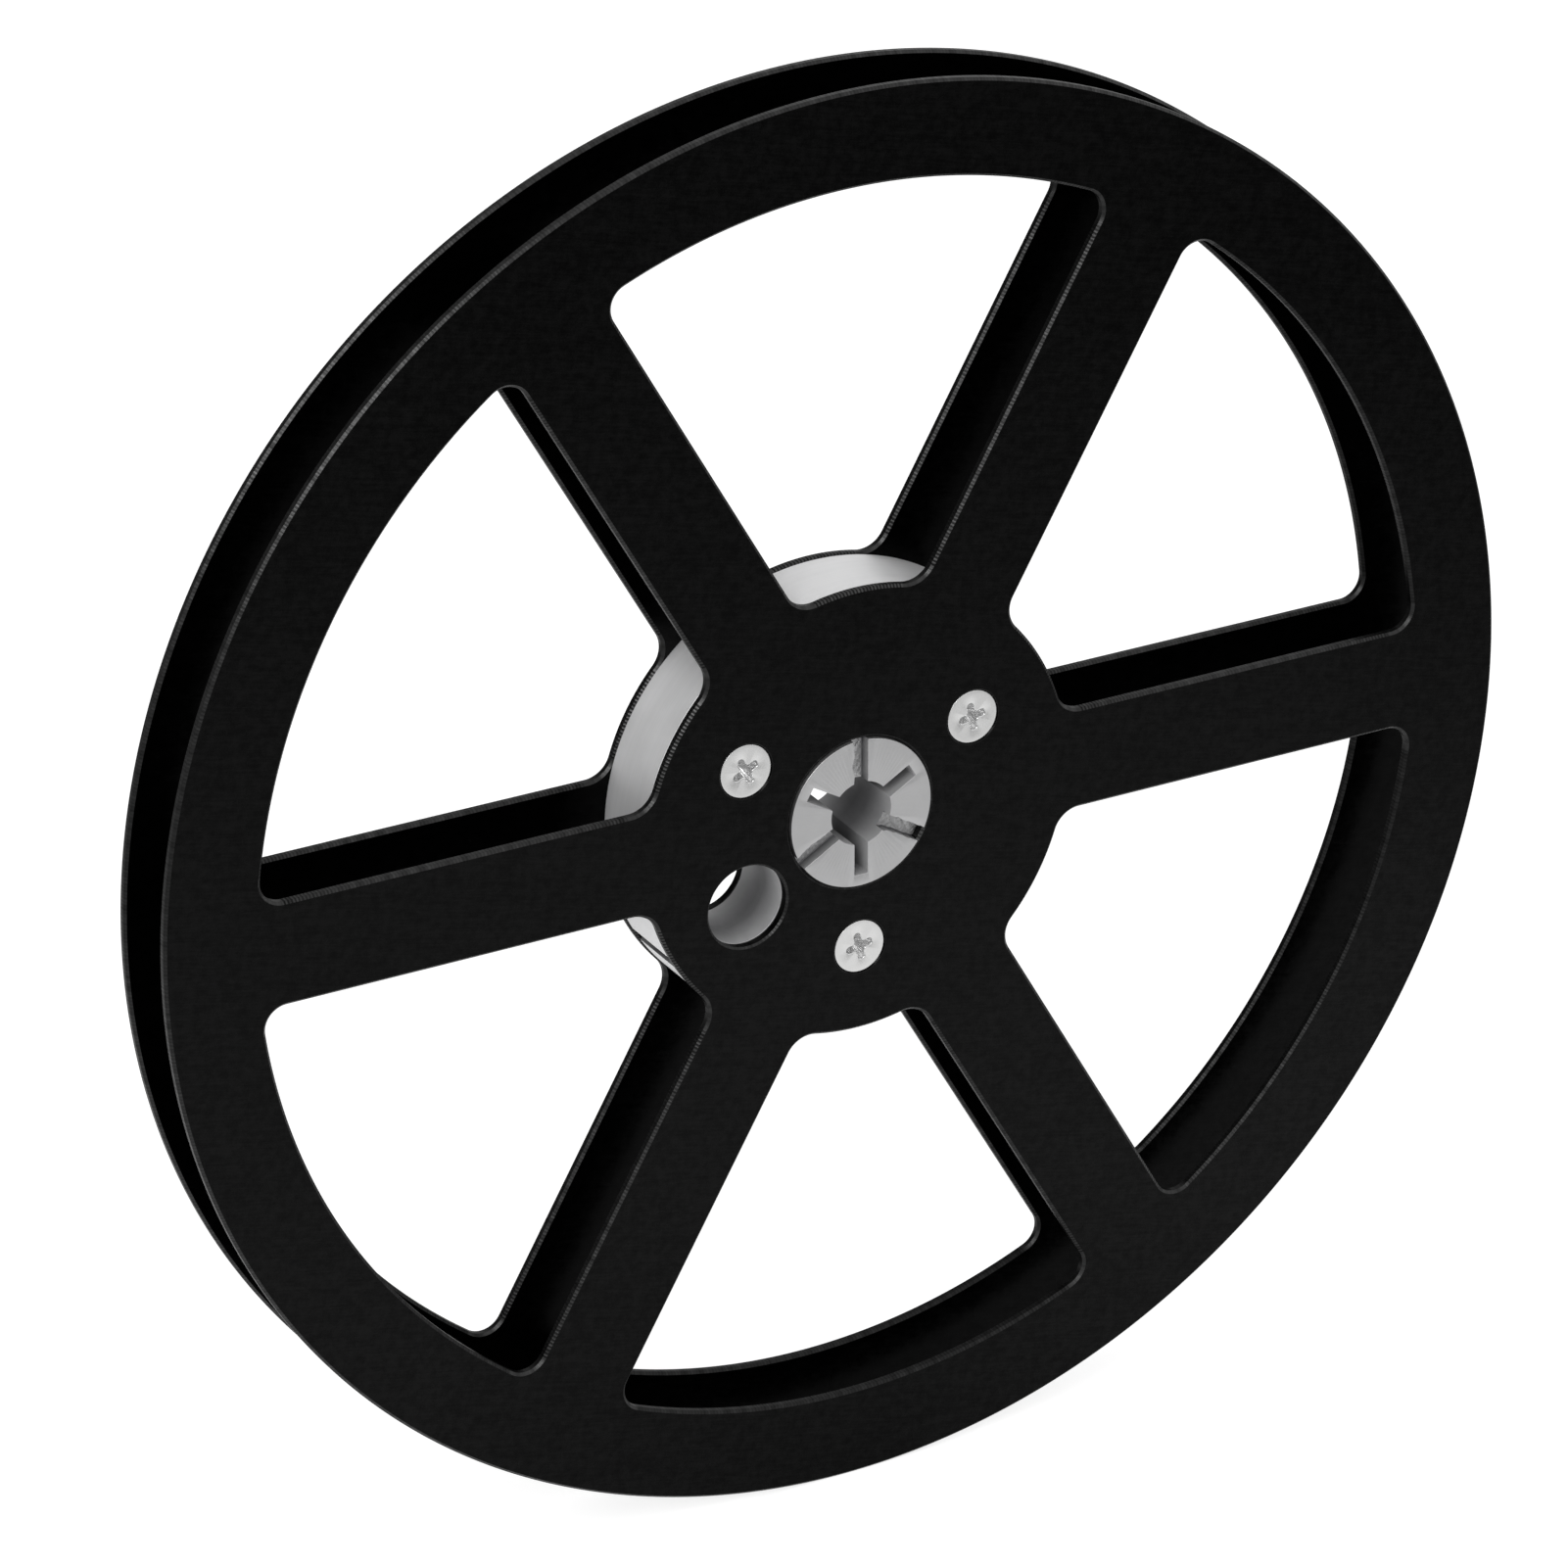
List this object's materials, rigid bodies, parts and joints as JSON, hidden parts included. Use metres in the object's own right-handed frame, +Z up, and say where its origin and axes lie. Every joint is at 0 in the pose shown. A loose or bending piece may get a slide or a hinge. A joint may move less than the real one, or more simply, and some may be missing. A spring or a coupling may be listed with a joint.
{
  "type": "audio tape reel",
  "caption": "Metal reel for quarter-inch audio tape: spoked black flange discs screwed to a bare machined hub with a slotted spindle bore and a tape threading hole.",
  "frame": {"origin": "on the spindle bore's axis, half way between the two flanges", "axes": "+Y along the spindle axis towards the rear flange, so the front face looks to -Y; +Z up, between two spokes; +X to the right in the front view, along a spoke"},
  "size_m": [0.178, 0.0126, 0.178],
  "materials": {
    "flange": "satin black anodised",
    "hub": "fine turned",
    "screw": "bright plated"
  },
  "bodies": {
    "root": {"front_flange": "flange", "rear_flange": "flange", "hub": "hub", "front_screws": "screw", "rear_screws": "screw"}
  },
  "joints": []
}
